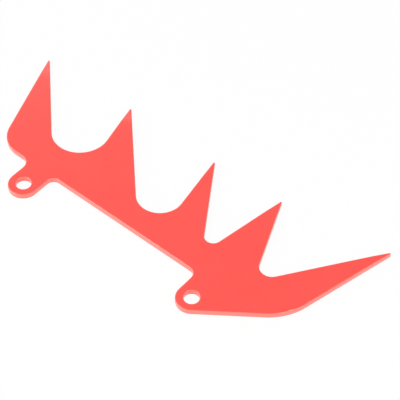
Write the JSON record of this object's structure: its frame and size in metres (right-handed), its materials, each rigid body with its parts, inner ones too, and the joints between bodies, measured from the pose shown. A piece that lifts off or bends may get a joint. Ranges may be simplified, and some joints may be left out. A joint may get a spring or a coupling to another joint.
{
  "type": "chainsaw bumper spike",
  "caption": "Flat painted steel plate with long pointed spikes and round gullets on one edge and eared screw holes on the other, to brace a chainsaw against a log.",
  "frame": {"origin": "midway between the two screw holes, in the plane of the underside", "axes": "+X from the first screw hole to the second, +Y towards the spikes, +Z out of the upper face"},
  "size_m": [0.1505, 0.0619, 0.0021],
  "materials": {
    "red_paint": "gloss"
  },
  "bodies": {
    "root": {"bumper_spike": "red_paint"}
  },
  "joints": []
}
